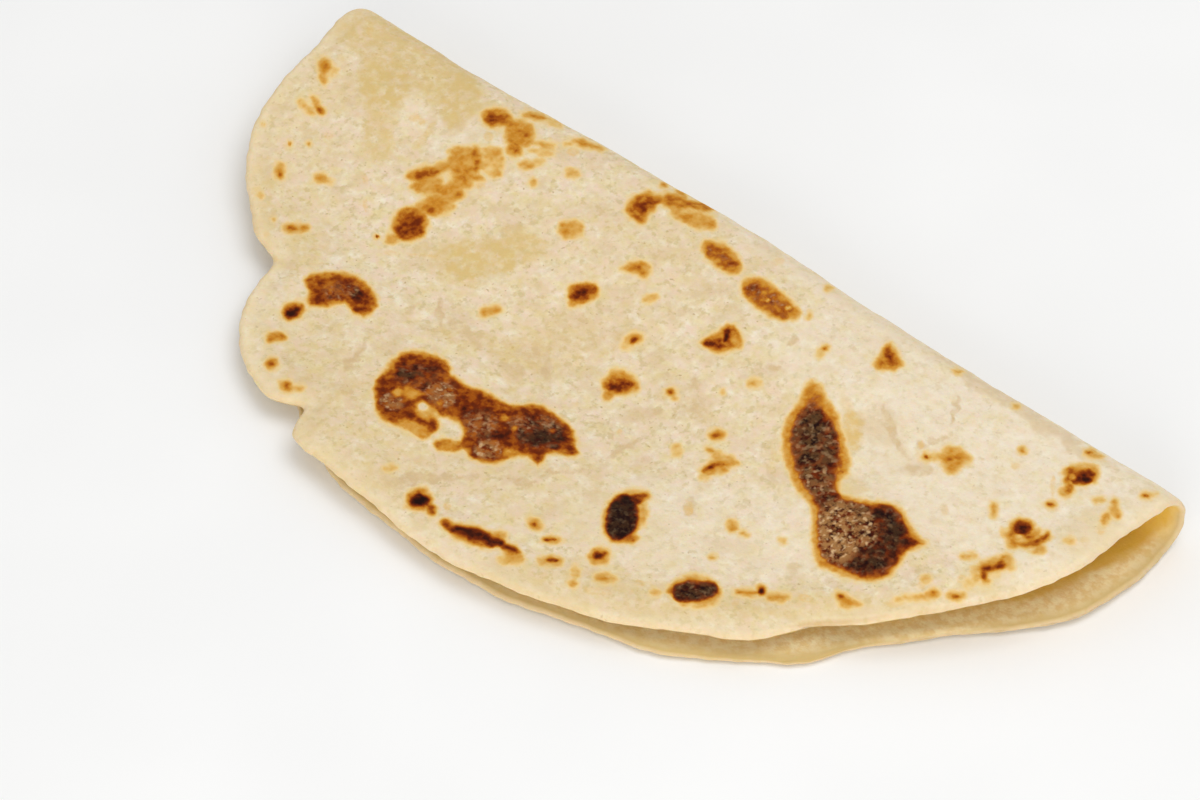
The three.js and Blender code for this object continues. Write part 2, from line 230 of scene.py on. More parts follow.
    (2.6, 694, 591, 28, 14, 3), (5.8, 694, 591, 24, 12, 3), (6, 686, 595, 15, 9), (1, 697, 578, 14, 3, 5),
    (5.6, 709, 589, 11, 10), (0.9, 694, 605, 14, 3), (1.2, 712, 600, 7, 5), (1.6, 747, 593, 14, 5, 5),
    (3.8, 748, 593, 12, 3, 3), (2.6, 761, 591, 6, 7.5), (6, 761, 592, 4.5, 5.5), (1.4, 777, 597, 14, 6, 5),
    (2.2, 773, 597, 8, 3.5), (2, 844, 599, 12, 6, 35), (4.6, 841, 596, 5, 4, 30), (1.8, 850, 604, 13, 5, 5),
    (1.3, 898, 600, 4, 3), (1.8, 932, 594, 9, 5.5, -15), (3, 933, 592, 4.5, 3), (1.2, 915, 598, 14, 4),
    (1, 926, 578, 5.5, 5), (1.6, 956, 595, 9.5, 6), (3.8, 956, 596, 6, 4),
    # Right end
    (1.6, 926, 457, 5, 5), (7, 926, 457, 3.2, 3.2), (1.2, 936, 457, 14, 4), (1.8, 953, 459, 13, 14),
    (2.9, 950, 460, 6, 5), (2.7, 958, 457, 6, 5), (2.4, 957, 465, 6, 4), (1.8, 953, 450, 6, 4),
    (1.7, 952, 469, 7, 5), (1.6, 965, 460, 7, 6), (1.6, 940, 457, 7, 4), (1.1, 1022, 450, 4.5, 4.5),
    (3.4, 1022, 451, 2.8, 2.8), (2, 1090, 452, 7, 4.5), (4.4, 1089, 452, 5, 3),
    (1.7, 1096, 456, 9, 3.5, 15), (2.3, 1078, 473, 17, 8, 3), (4.6, 1083, 476, 14, 9),
    (5.6, 1082, 480, 13, 7), (3.4, 1072, 472, 8, 7), (3.2, 1068, 480, 5, 6), (3.2, 1069, 488, 6, 7, 25),
    (1.7, 1066, 491, 7, 6, -20), (2, 1093, 474, 6, 10), (1.5, 1084, 466, 9, 4), (1.6, 1146, 496, 6, 4.5),
    (5.5, 1146, 496, 4.5, 3), (1, 1152, 495, 6, 2.5), (1.7, 1051, 504, 8, 5, 5),
    (4.6, 1051, 504, 6, 3.6, 5), (1.5, 994, 510, 5, 8, -5), (2.6, 993, 511, 3.5, 5),
    (1.9, 1114, 511, 6, 7, -20), (2.7, 1117, 515, 4, 5, -40), (1.8, 1114, 503, 4, 5),
    (2, 1106, 518, 5, 8, 25), (3.2, 1105, 519, 3, 5, 20), (1.6, 1099, 500, 7, 3), (2.6, 1022, 528, 14, 11),
    (5.2, 1023, 528, 11.5, 9.5, 10), (3, 1028, 536, 9, 6, 20), (2.2, 1012, 537, 6, 9),
    (3.4, 1012, 535, 4, 4), (2.5, 1014, 544, 6, 6), (2.4, 1036, 541, 15, 6, -20),
    (4, 1041, 539, 10, 4, -20), (4, 1047, 536, 4, 5), (2.4, 1028, 544, 14, 5), (1.5, 1021, 539, 7, 4),
    (1.4, 1039, 549, 8, 6, -30), (1.8, 1034, 533, 8, 6), (0.8, 1006, 532, 5, 5), (0.8, 1069, 541, 7, 4),
    (1, 969, 556, 9, 3.5), (1.6, 967, 556, 5, 2.5), (2, 993, 566, 17, 8, -15), (4.7, 991, 568, 12, 5, -10),
    (3.9, 1001, 564, 6, 7, 20), (3.7, 984, 573, 5.5, 9), (2.4, 986, 580, 5, 4), (1.5, 1007, 560, 7, 8),
    (2.6, 1003, 560, 4, 6, 10), (1.4, 990, 562, 13, 4, -10), (1, 976, 573, 6, 8), (0.8, 968, 583, 6, 5),
    (1, 1008, 566, 6, 5),
]

# Outlines of the largest browned spots, in photograph pixels: the tone, and the corners in turn
PHOTO_OUTLINES = [
    # Large blob on the left, with the bay in its lower edge
    (3.8, [
        (400, 353), (412, 350), (425, 351), (437, 355), (447, 361), (451, 368), (452, 374), (457, 377),
        (463, 382), (471, 386), (482, 389), (493, 394), (501, 399), (509, 403), (520, 404), (533, 403),
        (544, 406), (553, 411), (561, 417), (569, 424), (575, 431), (577, 440), (578, 447), (580, 453),
        (574, 457), (566, 456), (556, 454), (547, 455), (544, 462), (538, 467), (533, 463), (527, 458),
        (519, 457), (511, 459), (505, 461), (498, 465), (490, 465), (481, 463), (473, 460), (468, 455),
        (463, 450), (455, 452), (446, 452), (437, 450), (433, 444), (436, 439), (443, 437), (453, 440),
        (460, 440), (463, 434), (462, 428), (458, 423), (452, 420), (446, 418), (441, 417), (438, 419),
        (440, 423), (441, 427), (437, 432), (430, 438), (423, 440), (416, 437), (408, 432), (398, 428),
        (389, 425), (381, 420), (376, 410), (374, 399), (372, 390), (374, 380), (381, 372), (390, 367),
        (394, 360)]),
    # Large blob on the right, and its dark core
    (2.2, [
        (812, 380), (820, 384), (824, 391), (829, 399), (835, 407), (839, 416), (841, 426), (845, 434),
        (847, 444), (850, 454), (852, 464), (849, 474), (843, 480), (839, 487), (843, 494), (854, 497),
        (868, 499), (882, 501), (896, 505), (906, 514), (911, 524), (920, 536), (928, 544), (919, 548),
        (909, 552), (903, 560), (896, 570), (888, 578), (872, 582), (856, 581), (842, 577), (830, 571),
        (820, 569), (815, 560), (812, 546), (811, 532), (811, 518), (811, 507), (806, 500), (798, 492),
        (792, 482), (787, 470), (783, 458), (781, 446), (782, 434), (785, 422), (790, 411), (797, 401),
        (802, 391), (806, 384)]),
    (4.9, [
        (814, 399), (822, 405), (830, 413), (836, 423), (840, 433), (842, 443), (842, 452), (841, 462),
        (840, 471), (838, 480), (839, 489), (844, 497), (854, 499), (867, 501), (881, 502), (893, 505),
        (902, 513), (908, 524), (913, 536), (925, 544), (911, 549), (904, 555), (898, 566), (889, 576),
        (874, 580), (859, 579), (844, 574), (831, 567), (821, 559), (816, 547), (814, 531), (815, 515),
        (814, 505), (809, 497), (803, 489), (797, 479), (792, 467), (789, 453), (788, 438), (791, 425),
        (797, 412), (805, 403)]),
    # Arch
    (3.4, [
        (303, 280), (308, 274), (318, 272), (331, 271), (345, 272), (356, 275), (366, 281), (373, 289),
        (378, 298), (378, 307), (373, 314), (363, 318), (354, 315), (349, 309), (345, 305), (336, 306),
        (327, 308), (317, 307), (308, 307), (305, 300), (307, 291), (304, 286)]),
    # Three-cornered spots
    (2.6, [
        (885, 343), (891, 343), (896, 348), (900, 355), (904, 361), (904, 367), (896, 371), (886, 371),
        (876, 370), (872, 365), (876, 357), (881, 349)]),
    (2.9, [
        (698, 342), (703, 337), (710, 334), (717, 331), (722, 327), (728, 324), (735, 324), (740, 329),
        (743, 336), (743, 343), (740, 349), (733, 350), (727, 353), (720, 355), (714, 354), (709, 350),
        (702, 347)]),
]

# Pale holes in the browned spots, in the same terms: the highest tone stands first
PHOTO_HOLES = [
    (-1, 346, 317, 6, 4), (1.7, 410, 393, 14, 7), (1.9, 398, 392, 7, 5), (1.5, 414, 430, 22, 9, 25),
    (1, 425, 411, 15, 9, 35), (-2.5, 423, 407, 5, 4, 20), (0.8, 434, 413, 6, 4, 35),
    (2, 448, 445, 15, 8, 5), (1.9, 510, 453, 10, 6), (2.3, 441, 402, 5, 4), (0.3, 490, 168, 6, 3),
    (0.7, 487, 153, 5, 3), (2.1, 505, 418, 4.5, 4), (2.6, 515, 428, 4.5, 3.5), (3.4, 553, 430, 4, 3),
    (0.8, 768, 301, 2.5, 2), (0.8, 788, 308, 4, 2), (1.3, 1073, 477, 3.5, 4), (0.6, 1019, 536, 4, 2),
    (1.8, 735, 341, 5, 8), (1.2, 698, 214, 6, 3, 10), (1.5, 430, 187, 6, 3),
]

# Where flour, and painted glints of the charred crust, show as specks in the browned spots.
# From here on a strength stands first, not a tone.
PHOTO_SPECKS = [
    (0.25, 336, 291, 14, 9), (0.3, 353, 289, 6, 7), (0.7, 392, 402, 12, 8, 10), (0.7, 441, 394, 16, 12, 20),
    (0.15, 425, 380, 30, 14, 10), (0.8, 488, 450, 14, 10), (0.35, 480, 424, 18, 14),
    (0.35, 520, 424, 14, 8, 5), (0.3, 550, 424, 14, 8, 20), (0.1, 538, 438, 24, 12, 5),
    (0.08, 620, 520, 20, 20), (0.15, 694, 590, 22, 10), (0.3, 768, 300, 30, 14, 35),
    (0.2, 722, 257, 22, 11, 37), (0.24, 812, 446, 36, 62), (0.45, 816, 482, 22, 16, 20),
    (1, 838, 532, 23, 33), (0.5, 848, 508, 24, 10, 10), (0.8, 862, 530, 16, 19), (0.12, 868, 562, 26, 14),
    (0.12, 888, 530, 18, 22),
]

# Faint golden marks of the upper half
PHOTO_FAINT = [
    (0.4, 286, 147, 4, 3), (0.4, 329, 136, 5, 4), (0.6, 414, 117, 6, 4, -10), (0.6, 421, 121, 4, 3),
    (0.6, 257, 191, 5, 5), (0.7, 267, 235, 4, 3), (0.6, 276, 259, 3, 3), (0.7, 366, 205, 2.5, 7),
    (0.4, 365, 178, 3, 7), (0.3, 370, 30, 3, 9), (0.5, 423, 256, 18, 2.5, 4), (0.5, 392, 253, 8, 2.5, 10),
    (0.6, 1053, 485, 2.5, 11, 2), (0.6, 921, 445, 3, 5, 10), (0.5, 918, 456, 3, 6), (0.5, 640, 583, 5, 4),
    (0.4, 597, 591, 13, 4, 5), (0.3, 575, 404, 4, 3), (0.4, 945, 510, 4, 6), (0.3, 737, 478, 7, 4, -20),
    (0.3, 424, 136, 12, 3, -60), (0.6, 488, 137, 5, 5), (0.7, 479, 185, 6, 4), (0.6, 452, 172, 5, 6),
    (0.7, 573, 152, 7, 4), (0.5, 778, 262, 7, 4, -10), (0.6, 634, 331, 3, 3), (0.7, 447, 506, 4, 4),
    (0.5, 620, 432, 3, 3), (0.7, 689, 509, 5, 7), (0.6, 806, 598, 8, 4), (0.4, 735, 603, 3, 8, 5),
    (0.6, 895, 603, 9, 5, -5), (0.5, 921, 585, 4, 4), (0.6, 1016, 466, 5, 4), (0.7, 1055, 509, 4, 3),
    (0.7, 1102, 528, 5, 7, 20), (0.3, 1085, 541, 6, 5), (0.6, 995, 575, 6, 4), (0.7, 961, 578, 5, 4),
    (0.4, 985, 588, 7, 4), (0.5, 853, 430, 7, 22, -5), (0.3, 847, 404, 6, 9, -25), (0.2, 776, 455, 5, 22),
]

# Smooth translucent yellow patches of the upper half
PHOTO_YELLOWS = [
    (0.75, 404, 56, 88, 30, 31), (0.55, 352, 26, 28, 22), (0.95, 385, 84, 30, 27),
    (0.7, 380, 126, 18, 36, 5), (0.9, 460, 99, 21, 31, 15), (0.55, 384, 152, 14, 12),
    (0.35, 330, 78, 26, 34), (0.5, 424, 136, 18, 5, -55), (0.95, 478, 259, 48, 20, -4),
    (0.8, 524, 246, 27, 18), (0.6, 514, 230, 11, 9), (0.5, 456, 276, 28, 9, 10), (0.4, 430, 252, 22, 8, 4),
    (0.45, 470, 340, 42, 8, 8), (0.6, 524, 352, 40, 18, 8), (0.4, 510, 374, 16, 10, 40),
    (0.4, 590, 344, 60, 12, -6), (0.45, 262, 215, 14, 70), (0.4, 300, 250, 30, 22), (0.2, 290, 150, 50, 80),
    (0.2, 300, 345, 60, 50), (0.3, 340, 420, 110, 60, 35), (0.5, 388, 488, 16, 12, 40),
    (0.3, 330, 440, 60, 26, 40), (0.2, 560, 500, 130, 40, 22), (0.45, 600, 590, 160, 22, 8),
    (0.5, 800, 606, 150, 14), (0.9, 853, 432, 12, 22), (0.5, 852, 488, 16, 12), (0.15, 885, 430, 24, 16),
    (0.4, 1090, 530, 36, 22, -30), (0.4, 975, 584, 26, 10), (0.15, 640, 250, 70, 40),
    (0.2, 560, 340, 60, 30),
]

# Faint pinkish tan patches of the upper half, and painted shade in its creases, dents and along the fold
PHOTO_TANS_AND_CREASE_SHADE = [
    (0.5, 690, 410, 16, 12), (0.8, 918, 470, 13, 10), (0.4, 640, 415, 26, 8), (0.35, 590, 330, 60, 20, -10),
    (0.4, 700, 150, 160, 12, 30), (0.5, 450, 50, 60, 9, 31), (0.2, 900, 330, 160, 10, 31),
    (0.25, 560, 210, 60, 12), (1, 523, 481, 12, 3.5), (0.25, 645, 300, 40, 16), (0.4, 510, 224, 12, 10),
    (1, 353, 358, 20, 5, -52), (0.9, 348, 391, 4, 5), (0.8, 411, 312, 6, 6), (0.9, 440, 316, 5, 14),
    (0.7, 466, 333, 20, 5, 35), (0.8, 530, 354, 14, 8), (0.6, 510, 369, 18, 5, 25), (1, 548, 364, 6, 13),
    (0.9, 432, 479, 44, 4), (0.7, 395, 483, 9, 6), (0.8, 560, 473, 26, 3, -10), (0.9, 624, 449, 18, 4, -38),
    (0.9, 648, 415, 16, 4.5), (0.9, 694, 408, 12, 10), (0.4, 684, 396, 30, 22, 20), (0.8, 697, 383, 5, 5),
    (0.8, 665, 376, 5, 4), (0.9, 792, 339, 8, 4), (0.9, 774, 366, 7, 4.5), (0.8, 722, 392, 4, 4),
    (0.9, 892, 430, 26, 4.5, 72), (0.4, 880, 424, 20, 20), (0.9, 953, 410, 15, 3.5, 100),
    (0.8, 940, 440, 12, 4, -25), (0.8, 921, 447, 6, 5), (0.5, 770, 470, 26, 3, 68), (0.6, 795, 567, 9, 5),
    (0.3, 725, 546, 34, 7, 5), (0.6, 1020, 409, 110, 8, 33), (0.7, 690, 508, 6, 9), (0.4, 360, 183, 8, 12),
    (0.3, 352, 108, 9, 12), (0.3, 400, 320, 30, 6, 20), (0.4, 455, 128, 14, 6, -30),
]

# Where the dough of the upper half is paler and floury, and painted light makes the left rim paler
PHOTO_PALES_AND_LIGHT = [
    (0.6, 1010, 480, 200, 90, 24), (0.4, 880, 380, 120, 60, 25), (0.15, 264, 330, 24, 70),
    (0.35, 460, 140, 30, 20), (0.35, 404, 108, 20, 22), (0.4, 720, 530, 160, 50, 5),
    (0.9, 862, 500, 12, 6, 10), (0.3, 770, 245, 60, 10, 28), (0.5, 900, 335, 170, 12, 31),
]

# Where the upper half's rim is browned by toasting, with painted shade under it at the front and by the
# gape
PHOTO_TOASTED_AND_SHADE = [(0.8, 800, 612, 90, 16), (0.35, 1120, 540, 80, 20, -40), (0.4, 960, 606, 60, 12, -5)]

# Where the painted shade along the inner face's rim is weaker
PHOTO_LESS_RIM_SHADE = [(0.75, 925, 627, 85, 11, -7)]

# Where deep yellow painted shade darkens the inner face inside the gape, under the upper rim
PHOTO_GAPE_SHADE = [
    (1, 1135, 530, 60, 18, -38), (0.9, 1055, 575, 60, 14, -24), (0.4, 940, 610, 80, 7, -10),
    (0.3, 780, 634, 90, 5),
]

# Spots where the photograph shows none: how many, where along u and s, their sizes, how rare the large
# ones are, their tones, and how much darker the largest one is
HIDDEN_SEED = 7
HIDDEN_COUNT = 60
HIDDEN_ALONG = (-95, 95)
HIDDEN_ACROSS = (-95, 3)
HIDDEN_SMALLEST = 0.7
HIDDEN_LARGEST = 5.5
HIDDEN_RARITY = 4
HIDDEN_TONES = (1.5, 3)
HIDDEN_DARKER = 3

# The ellipses of a hidden spot, as shares of its size and tone: half length, half width, scatter and tone
PART_LENGTH = (0.9, 1.6)
PART_WIDTH = (0.6, 1)
PART_SCATTER = 0.8
PART_TONE = (0.7, 1)

# From which s, and over what width, the outer face takes the photograph's spots, and the flour elsewhere
SHOWN_FROM = -1.0
SHOWN_OVER = 2.0
HIDDEN_SPECKS = 0.4

# The rim, in millimetres: the widths of its pale band, of the painted shade along the inner faces' rim and
# of its line of toasting and painted shade, with that line's strength and how much more it has where the
# photograph does not show it
PALE_RIM_WIDTH = 5.0
RIM_SHADE_WIDTH = 4.0
EDGE_BAND = 1.2
EDGE_TOASTED_AND_SHADE = 0.25
HIDDEN_EDGE_MORE = 0.25

# Browning: how fast the tone rises inside a spot's edge, per photograph pixel, how much faster for each
# tone of the spot, how fast it falls outside, how softly spots join, and the tone of plain dough
EDGE_SLOPE = 0.3
EDGE_STEEPER = 0.3
HALO_SLOPE = 0.5
SPOT_BLEND = 0.35
NO_TONE = -6.0

# Soft edges, as shares of an ellipse's size: where a hole and a patch end and over what width they fade,
# and within which share the distance to the edge grows no steeper
HOLE_END = 1.3
HOLE_SOFTNESS = 1.0
PATCH_END = 1.2
PATCH_SOFTNESS = 0.45
CORE_SHARE = 0.3

# How the marks' edges wander: the sizes of two noises, how far the wider one moves an edge in photograph
# pixels, and how much further both move a patch
WANDER_WIDE = 5.0
WANDER_FINE = 1.6
WANDER_WIDE_BY = 1.2
PATCH_WANDER = 5

# The mesh: cells along the fold, on each half, round the fold and in the band along the rim
CELLS_ALONG = 480
CELLS_LOWER = 60
CELLS_ROUND_FOLD = 64
CELLS_UPPER = 220
CELLS_IN_RIM = 8
FOLD_BAND = 0.14
RIM_BAND = 0.03
INNER_STEP = 4


def srgb(red, green, blue):
    """A colour written as 0 to 255 in sRGB, as linear values with alpha."""
    channels = [c / 255 for c in (red, green, blue)]
    return [c / 12.92 if c <= 0.04045 else ((c + 0.055) / 1.055) ** 2.4 for c in channels] + [1.0]


# Shape of the folded sheet

def bump(x, at, width):
    return np.exp(-(((x - at) / width) ** 2))


def smooth(x):
    x = np.clip(x, 0, 1)
    return x * x * (3 - 2 * x)


def step_up(x, height, start, length):
    """A smooth step from 0 at start to height at start + length."""
    return height * smooth((x - start) / length)


def turned(x, y, turn):
    """The places x and y as distances along and across a direction, which is turned by some degrees."""
    c, t = math.cos(math.radians(turn)), math.sin(math.radians(turn))
    return x * c + y * t, y * c - x * t


def turn_from(start, end):
    """Angle from one direction to another, in degrees from -180 to 180."""
    return (end - start + 540) % 360 - 180


def rim_radius(theta):
    """Radius of the flat sheet's rim in the direction theta."""
    radius = BREAD_RADIUS - UPPER_SHORTER * np.sin(theta)
    for at, out, width in LOBES:
        radius = radius + out * bump(turn_from(at, np.degrees(theta)), 0, width)
    for count, depth, turn in SCALLOPS:
        radius = radius + depth * np.sin(count * theta + turn)
    return radius


def fold_radius(u):
    return FOLD_RADIUS + FOLD_END_WIDER * (u / BREAD_RADIUS) ** 2


def fold_axis_y(u):
    out, at, width = FOLD_BOW
    return FOLD_AXIS_Y + out * bump(u, at, width) - step_up(-u, *FOLD_SWEEP)


def rim_lift(u, d):
    """The low, uneven lift of both halves near the front rim, at d in front of the fold."""
    out = np.hypot(u, d) / BREAD_RADIUS
    wave = 1 + np.sin(RIM_LIFT_WAVES * np.arctan2(d, u) + RIM_LIFT_TURN)
    return wave * step_up(out, RIM_LIFT, RIM_LIFT_FROM, RIM_LIFT_OVER) * smooth(d / RIM_LIFT_CLEAR)


def upper_waves(u, d):
    height = sum(rise * np.sin(u / along_u + d / along_d + turn) for rise, along_u, along_d, turn in WAVES)
    return height * step_up(d, 1, WAVES_FROM, WAVES_OVER)


def pitch(u, d):
    """Height of the upper half's middle above the lower half's middle."""
    settled = REST_PITCH + step_up(u, *RIGHT_GAPE) + step_up(-u, *LEFT_GAPE)
    fall_length = FALL_LENGTH + step_up(u, *FALL_LONGER)
    return settled + (2 * fold_radius(u) - settled) * (1 - smooth(d / fall_length)) + upper_waves(u, d)


def middle(u, s):
    """Points on the middle of the folded sheet."""
    radius = fold_radius(u)
    quarter_turn = radius * math.pi / 2
    angle = np.clip(s / radius, -math.pi / 2, math.pi / 2)
    d = np.maximum(np.abs(s) - quarter_turn, 0)
    y = fold_axis_y(u) + radius * np.cos(angle) - d
    low = THICKNESS / 2 + rim_lift(u, d)
    on_half = np.where(s > 0, low + pitch(u, d), low)
    round_fold = THICKNESS / 2 + radius * (1 + np.sin(angle))
    return np.stack([u, y, np.where(np.abs(s) <= quarter_turn, round_fold, on_half)], axis=-1)


def outward(u, s):
    """Unit normals of the sheet, pointing out of the fold."""
    step = 0.05
    along_u = middle(u + step, s) - middle(u - step, s)
    along_s = middle(u, s + step) - middle(u, s - step)
    normal = np.cross(along_s, along_u)
    return normal / np.linalg.norm(normal, axis=-1, keepdims=True)


def sheet_face(u, s):
    """Points on the sheet's outer face, without its relief."""
    return middle(u, s) + outward(u, s) * THICKNESS / 2


def half_thickness(inside):
    """Half of the sheet's thickness at a distance inside the rim."""
    full = THICKNESS / 2 - EDGE_THIN / 2 * (1 - smooth(inside / EDGE_THIN_REACH))
    across = 1 - np.clip(inside / EDGE_ROUND, 0, 1)
    return full * np.sqrt(1 - across * across)


def relief(u, s, inside):
    """Rise of the upper half's outer face: the ring along the rim and the blisters."""
    rise = RING_RISE * bump(inside, RING_INSET, RING_WIDTH)
    for at_u, at_s, length, width, turn, height in BLISTERS:
        along, across = turned(u - at_u, s - at_s, turn)
        rise = rise + height * np.exp(-((along / length) ** 2) - (across / width) ** 2)
    return np.where(s > 0, rise * smooth(inside / (2 * EDGE_ROUND)) * smooth(s / RELIEF_OVER), 0)


def rough(points, size, octaves, seed):
    """Fractal noise at the points, about -1 to 1, with features of the given size."""
    shift = Vector((seed * 17.3, seed * 5.1, seed * 9.7))
    flat = points.reshape(-1, 3) / size
    values = [noise.fractal(Vector(p) + shift, 1.0, 2.0, octaves) for p in flat]
    return np.array(values).reshape(points.shape[:-1])


def skin_waves(centre, waves, inside):
    """Uneven waves of a face of the sheet, which fade out towards the rim."""
    height = sum(rise * rough(centre, size, 2, seed) for rise, size, seed in waves)
    return height * smooth(inside / WAVES_INSIDE_RIM)


def outer_skin(u, s, inside):
    """Points of the outer face, with its relief and its waves."""
    centre = middle(u, s)
    waves = skin_waves(centre, OUTER_WAVES, inside) * smooth((s + WAVES_BELOW_FOLD) / WAVES_BELOW_FOLD)
    return centre + outward(u, s) * (half_thickness(inside) + relief(u, s, inside) + waves)[..., None]


def inner_skin(u, s, inside):
    """Points of the inner face, with its waves."""
    centre = middle(u, s)
    waves = skin_waves(centre, INNER_WAVES, inside)
    return centre - outward(u, s) * (half_thickness(inside) + waves)[..., None]


# Mesh

def grid_lines(inner):
    """Grid lines from -1 to 1, bunched at both ends."""
    rim = [1 - RIM_BAND * (i / CELLS_IN_RIM) ** 2 for i in range(CELLS_IN_RIM)]
    return np.array([-x for x in rim] + list(inner) + rim[::-1])


def sheet_grid():
    """Places u and s, and the distance inside the rim, on a square grid bent onto the round sheet."""
    edge = 1 - RIM_BAND
    columns = grid_lines(np.linspace(-edge, edge, CELLS_ALONG + 1))
    rows = grid_lines(np.concatenate([
        np.linspace(-edge, -FOLD_BAND, CELLS_LOWER, endpoint=False),
        np.linspace(-FOLD_BAND, FOLD_BAND, CELLS_ROUND_FOLD, endpoint=False),
        np.linspace(FOLD_BAND, edge, CELLS_UPPER + 1),
    ]))
    a, b = np.meshgrid(columns, rows)
    x = a * np.sqrt(1 - b * b / 2)
    y = b * np.sqrt(1 - a * a / 2)
    radius = rim_radius(np.arctan2(y, x))
    inside = (1 - np.hypot(x, y)) * radius
    inside[[0, -1], :] = 0
    inside[:, [0, -1]] = 0
    return x * radius, SHEET_CENTRE + y * radius, inside


def outer_faces(index):
    """Quads of the outer face."""
    corners = [index[:-1, :-1], index[1:, :-1], index[1:, 1:], index[:-1, 1:]]
    return np.stack(corners, axis=-1).reshape(-1, 4).tolist()


def inner_faces(index, rows, columns):
    """Faces of the coarser inner face. Along the rim they take in every vertex of the outer face."""
    last_row, last_column = index.shape[0] - 1, index.shape[1] - 1

    def side(start, end):
        on_rim = start[0] == end[0] in (0, last_row) or start[1] == end[1] in (0, last_column)
        count = INNER_STEP if on_rim else 1
        return [tuple(a + (b - a) * i // count for a, b in zip(start, end)) for i in range(count)]

    faces = []
    for top, bottom in zip(rows[:-1], rows[1:]):
        for left, right in zip(columns[:-1], columns[1:]):
            corners = [(top, left), (top, right), (bottom, right), (bottom, left)]
            loop = [p for start, end in zip(corners, corners[1:] + corners[:1]) for p in side(start, end)]
            faces.append([int(index[p]) for p in loop])
    return faces


def photo_pixels(points):
    """Where points of the sheet's frame lie in the photograph."""
    back, right, up = camera_axes()
    q = points - np.array(CAMERA_TARGET + back * CAMERA_DISTANCE)
    scale = CAMERA_LENS / SENSOR_WIDTH * PHOTO_WIDTH / -(q @ np.array(back))
    x = PHOTO_WIDTH / 2 + scale * (q @ np.array(right))
    y = PHOTO_HEIGHT / 2 - scale * (q @ np.array(up))
    return x, y


def spot_pixels(u, s, points):
    """Photograph pixels of the points, which run on past the fold as if the sheet stayed flat."""
    level = np.maximum(s, FOLD_TURNS_AWAY)
    moved = points + sheet_face(u, level) - sheet_face(u, s)
    moved[..., 1] += level - s
    return photo_pixels(moved)


def camera_axes():
    """The camera's backward, rightward and upward directions."""
    elevation, azimuth = math.radians(CAMERA_ELEVATION), math.radians(CAMERA_AZIMUTH)
    level = math.cos(elevation)
    back = Vector((math.sin(azimuth) * level, -math.cos(azimuth) * level, math.sin(elevation)))
    right = Vector((math.cos(azimuth), math.sin(azimuth), 0))
    return back, right, back.cross(right)


# Browning

def reach_of(x, y, at_x, at_y, length, width, turn=0):
    """How far out of a turned ellipse each place is (1 on its edge), and the distance inside its edge."""
    along, across = turned(x - at_x, y - at_y, turn)
    along, across = along / length, across / width
    reach = np.hypot(along, across)
    slope = np.hypot(along / length, across / width)
    depth = (1 - reach) * np.maximum(reach, CORE_SHARE) / np.maximum(slope, CORE_SHARE / max(length, width))
    return reach, np.minimum(depth, min(length, width))


def inside_outline(x, y, corners):
    """Distance inside a closed outline, negative outside it."""
    nearest = np.full(x.shape, np.inf)
    within = np.zeros(x.shape, dtype=bool)
    for (start_x, start_y), (end_x, end_y) in zip(corners, corners[1:] + corners[:1]):
        run_x, run_y = end_x - start_x, end_y - start_y
        share = np.clip(((x - start_x) * run_x + (y - start_y) * run_y) / (run_x ** 2 + run_y ** 2), 0, 1)
        nearest = np.minimum(nearest, np.hypot(x - start_x - share * run_x, y - start_y - share * run_y))
        if run_y != 0:
            passes = (start_y > y) != (end_y > y)
            within ^= passes & (x < start_x + (y - start_y) * run_x / run_y)
    return np.where(within, nearest, -nearest)


def rise_to(depth, peak):
    """The tone at a distance inside a spot's edge: negative outside, then rising to the spot's own tone."""
    rising = np.maximum(depth, 0) * (EDGE_SLOPE + EDGE_STEEPER * peak)
    return np.where(depth > 0, peak * (1 - np.exp(-rising / peak)), depth * HALO_SLOPE)


def browning(x, y, spots, outlines, holes):
    """The tone of each place, from the spots, the outlined spots and the holes in them."""
    total = np.full(x.shape, math.exp(NO_TONE / SPOT_BLEND))
    for peak, *ellipse in spots:
        _, depth = reach_of(x, y, *ellipse)
        total += np.exp(rise_to(depth, peak) / SPOT_BLEND)
    for peak, corners in outlines:
        total += np.exp(rise_to(inside_outline(x, y, corners), peak) / SPOT_BLEND)
    tone = SPOT_BLEND * np.log(total)
    for highest, *ellipse in holes:
        reach, _ = reach_of(x, y, *ellipse)
        tone = tone + np.minimum(highest - tone, 0) * smooth((HOLE_END - reach) / HOLE_SOFTNESS)
    return tone


def patches(x, y, areas):
    """Strength of the strongest soft-edged area at each place."""
    strength = np.zeros(x.shape)
    for amount, *ellipse in areas:
        reach, _ = reach_of(x, y, *ellipse)
        strength = np.maximum(strength, amount * smooth((PATCH_END - reach) / PATCH_SOFTNESS))
    return strength


def hidden_spots():
    """Spots of the underside and the inner faces, on the sheet in photograph pixels' scale."""
    rng = np.random.default_rng(HIDDEN_SEED)
    spots = []
    for _ in range(HIDDEN_COUNT):
        size = HIDDEN_SMALLEST + (HIDDEN_LARGEST - HIDDEN_SMALLEST) * rng.random() ** HIDDEN_RARITY
        at = np.array([rng.uniform(*HIDDEN_ALONG), rng.uniform(*HIDDEN_ACROSS)])
        tone = rng.uniform(*HIDDEN_TONES) + size / HIDDEN_LARGEST * HIDDEN_DARKER
        for _ in range(1 + int(size)):
            length = size * rng.uniform(*PART_LENGTH) * PIXELS_PER_MM
            width = size * rng.uniform(*PART_WIDTH) * PIXELS_PER_MM
            place = (at + rng.normal(0, size * PART_SCATTER, 2)) * PIXELS_PER_MM
            turn = rng.uniform(0, 180)
            spots.append((tone * rng.uniform(*PART_TONE), *place, length, width, turn))
    return spots


def wander(points, wide_seed, fine_seed):
    """How far the marks' edges wander to one side, in photograph pixels."""
    wide = rough(points, WANDER_WIDE, 1, wide_seed) * WANDER_WIDE_BY
    return wide + rough(points, WANDER_FINE, 1, fine_seed)


